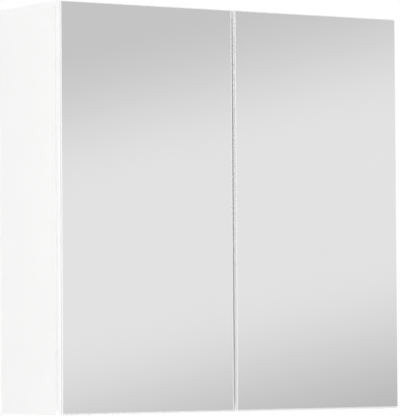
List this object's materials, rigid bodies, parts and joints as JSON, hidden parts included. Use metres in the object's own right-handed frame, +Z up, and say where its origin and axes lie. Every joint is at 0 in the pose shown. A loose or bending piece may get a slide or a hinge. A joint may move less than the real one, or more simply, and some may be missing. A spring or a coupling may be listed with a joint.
{
  "type": "bathroom mirror cabinet",
  "caption": "White frameless wall-hung bathroom cabinet whose whole front is mirror doors on concealed hinges, with glass shelves on pins inside and a magnetic catch.",
  "frame": {"origin": "middle of the back face, which lies against the wall", "axes": "+X along the wall to the right as seen from the front, +Y into the wall, so the mirrors face -Y, +Z up"},
  "size_m": [0.6, 0.178, 0.6],
  "materials": {
    "white_board": "white melamine on chipboard, satin",
    "white_door": "white lacquered fibreboard, satin",
    "back_board": "white-faced hardboard",
    "beech": "plain beech",
    "white_plastic": "moulded, matt",
    "zinc_steel": "bright zinc plate",
    "nickel_steel": "nickel plate",
    "shelf_glass": "clear float glass, polished edges",
    "clear_rubber": "clear silicone",
    "magnet": "sintered ferrite",
    "mirror": "silvered float glass, ground edge",
    "film": "adhesive film"
  },
  "bodies": {
    "carcass": {"side_panel_left": "white_board", "side_panel_right": "white_board", "top_panel": "white_board", "bottom_panel": "white_board", "hanging_rail": "white_board", "back_panel": "back_board", "corner_dowels": "beech", "rail_dowels": "beech", "cam_caps": "white_plastic", "catch_housing": "white_plastic", "back_nails": "zinc_steel", "cam_discs": "zinc_steel", "cam_bolts": "zinc_steel", "shelf_pins": "zinc_steel", "hinge_plate_screws": "zinc_steel", "hinge_clamp_screws": "zinc_steel", "hinge_adjusters": "zinc_steel", "catch_screws": "zinc_steel", "shelf_upper": "shelf_glass", "shelf_lower": "shelf_glass", "shelf_pads": "clear_rubber", "catch_magnets": "magnet", "hinge_plate_left_upper": "nickel_steel", "hinge_arm_left_upper": "nickel_steel", "hinge_plate_left_lower": "nickel_steel", "hinge_arm_left_lower": "nickel_steel", "hinge_plate_right_upper": "nickel_steel", "hinge_arm_right_upper": "nickel_steel", "hinge_plate_right_lower": "nickel_steel", "hinge_arm_right_lower": "nickel_steel"},
    "door_left": {"door_board_left": "white_door", "mirror_film_left": "film", "mirror_pane_left": "mirror", "hinge_cup_left_upper": "nickel_steel", "hinge_cup_left_lower": "nickel_steel", "hinge_pins_left": "zinc_steel", "cup_screws_left": "zinc_steel", "door_bumpers_left": "clear_rubber", "strike_plate_left": "zinc_steel", "strike_screw_left": "zinc_steel"},
    "door_right": {"door_board_right": "white_door", "mirror_film_right": "film", "mirror_pane_right": "mirror", "hinge_cup_right_upper": "nickel_steel", "hinge_cup_right_lower": "nickel_steel", "hinge_pins_right": "zinc_steel", "cup_screws_right": "zinc_steel", "door_bumpers_right": "clear_rubber", "strike_plate_right": "zinc_steel", "strike_screw_right": "zinc_steel"}
  },
  "joints": [
    {"name": "left_door_hinge", "type": "hinge", "parent": "carcass", "child": "door_left", "pos_m": [-0.2931, -0.1692, 0], "axis": [0, 0, -1], "range_deg": [0, 100]},
    {"name": "right_door_hinge", "type": "hinge", "parent": "carcass", "child": "door_right", "pos_m": [0.2931, -0.1692, 0], "axis": [0, 0, 1], "range_deg": [0, 100]}
  ]
}
